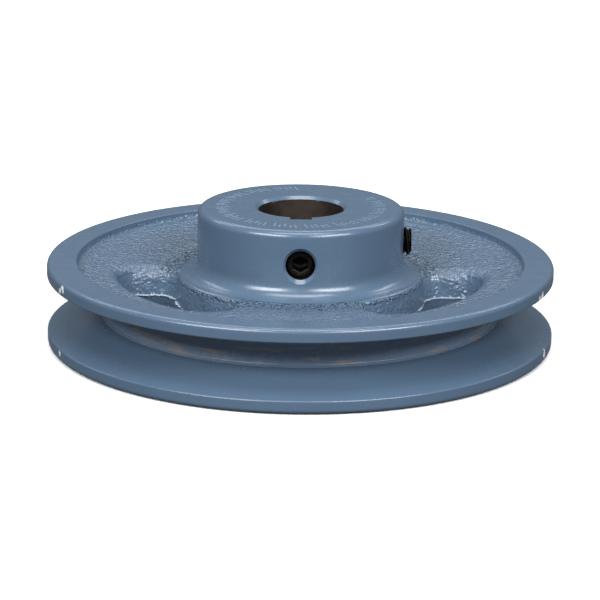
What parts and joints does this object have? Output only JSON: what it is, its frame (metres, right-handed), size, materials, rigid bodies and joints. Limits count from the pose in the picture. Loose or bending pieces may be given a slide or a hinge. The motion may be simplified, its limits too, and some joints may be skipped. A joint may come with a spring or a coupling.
{
  "type": "v belt pulley",
  "caption": "Cast-iron V-belt pulley with a windowed web, raised hub, keyed bore and socket set screws that slide out of their holes.",
  "frame": {"origin": "where the bore's axis meets the plane of the rim's and hub's lower face", "axes": "+Z along the bore's axis towards the hub's nose; -Y through the keyseat and its set screw; +X through the second set screw"},
  "size_m": [0.113, 0.113, 0.0302],
  "materials": {
    "grey_enamel": "semi-gloss blue-grey enamel sprayed over cast iron, with machined lands, hub and groove",
    "black_oxide_steel": "black oxide with a trace of oil",
    "bare_iron": "bored grey iron, bare and dark, inside the bore only"
  },
  "bodies": {
    "pulley": {"pulley_casting": "grey_enamel"},
    "keyseat_screw": {"keyseat_set_screw": "black_oxide_steel"},
    "side_screw": {"side_set_screw": "black_oxide_steel"}
  },
  "joints": [
    {"name": "keyseat_screw_travel", "type": "slide", "parent": "pulley", "child": "keyseat_screw", "axis": [0, -1, 0], "range_m": [0, 0.0115]},
    {"name": "side_screw_travel", "type": "slide", "parent": "pulley", "child": "side_screw", "axis": [1, 0, 0], "range_m": [-0.0055, 0.0082]}
  ]
}
